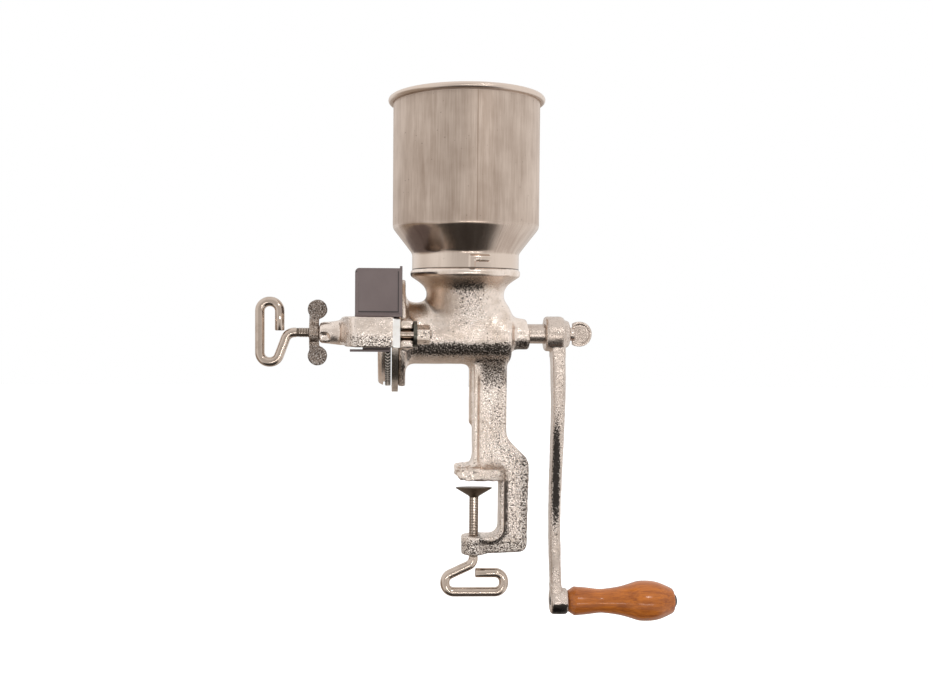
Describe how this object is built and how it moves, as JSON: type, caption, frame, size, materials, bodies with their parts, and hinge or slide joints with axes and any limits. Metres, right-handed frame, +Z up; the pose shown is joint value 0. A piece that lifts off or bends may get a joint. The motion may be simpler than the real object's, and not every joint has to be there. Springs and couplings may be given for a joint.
{
  "type": "malt mill",
  "caption": "Hand cranked plate mill with a tinned hopper, cast body, adjustable grinding plates and a screw clamp for a table edge.",
  "frame": {"origin": "on the clamp screw's axis, at the underside of the upper clamp jaw, where the table top touches", "axes": "+X along the shaft towards the crank, +Z up towards the hopper, -Y towards the viewer"},
  "size_m": [0.4264, 0.158, 0.5226],
  "materials": {
    "casting": "tinned sand casting, bright and grainy",
    "tinned_sheet": "satin tinned sheet with drawn streaks",
    "grinding_iron": "tinned casting with ground edges",
    "zinc_steel": "bright zinc plating",
    "guard_grey": "satin dark grey coat",
    "dark_casting": "rough grey casting",
    "pad_steel": "dull bronze-grey steel",
    "wood": "varnished orange-brown wood",
    "black_steel": "blackened steel"
  },
  "bodies": {
    "mill": {"mill_body": "casting", "stationary_plate": "grinding_iron", "stationary_plate_screws": "zinc_steel", "yoke": "casting", "yoke_bolts": "zinc_steel", "yoke_washers": "zinc_steel", "yoke_nuts": "zinc_steel", "guard": "guard_grey"},
    "hopper": {"hopper": "tinned_sheet"},
    "thrust_ball": {"thrust_ball": "zinc_steel"},
    "crank": {"auger": "casting", "drive_pin": "zinc_steel", "plate_carrier": "casting", "rotating_plate": "grinding_iron", "rotating_plate_screws": "zinc_steel", "crank_arm": "casting", "grip_spindle": "black_steel"},
    "crank_screw": {"crank_screw": "casting"},
    "grip": {"grip": "wood"},
    "adjusting_screw": {"adjusting_screw": "zinc_steel"},
    "wing_nut": {"wing_nut": "dark_casting"},
    "clamp_pad": {"clamp_pad": "pad_steel"},
    "clamp_screw": {"clamp_screw": "zinc_steel"}
  },
  "joints": [
    {"name": "plate_gap", "type": "slide", "parent": "mill", "child": "thrust_ball", "axis": [1, 0, 0], "range_m": [-0.004, 0.0007]},
    {"name": "crank_spin", "type": "hinge", "parent": "thrust_ball", "child": "crank", "pos_m": [0, 0, 0.1455], "axis": [1, 0, 0], "continuous": true},
    {"name": "adjusting_screw_turn", "type": "hinge", "parent": "thrust_ball", "child": "adjusting_screw", "pos_m": [-0.12, 0, 0.1455], "axis": [1, 0, 0], "range_deg": [-910, 160]},
    {"name": "wing_nut_turn", "type": "hinge", "parent": "mill", "child": "wing_nut", "pos_m": [-0.16, 0, 0.1455], "axis": [1, 0, 0], "continuous": true},
    {"name": "hopper_turn", "type": "hinge", "parent": "mill", "child": "hopper", "pos_m": [-0.0105, 0, 0.2084], "axis": [0, 0, 1], "range_deg": [0, 16]},
    {"name": "crank_screw_turn", "type": "hinge", "parent": "crank", "child": "crank_screw", "pos_m": [0.094, 0, 0.1455], "axis": [1, 0, 0], "continuous": true},
    {"name": "grip_spin", "type": "hinge", "parent": "crank", "child": "grip", "pos_m": [0.1, 0, -0.1245], "axis": [1, 0, 0], "continuous": true},
    {"name": "clamp_travel", "type": "slide", "parent": "mill", "child": "clamp_pad", "axis": [0, 0, 1], "range_m": [-0.036, 0.0035]},
    {"name": "clamp_screw_turn", "type": "hinge", "parent": "clamp_pad", "child": "clamp_screw", "pos_m": [0, 0, -0.05], "axis": [0, 0, 1], "range_deg": [-8170, 800]}
  ],
  "couplings": [
    {"joint": "adjusting_screw_turn", "follows": "plate_gap", "rad_per_m": 3957.9},
    {"joint": "clamp_screw_turn", "follows": "clamp_travel", "rad_per_m": 3957.9}
  ]
}
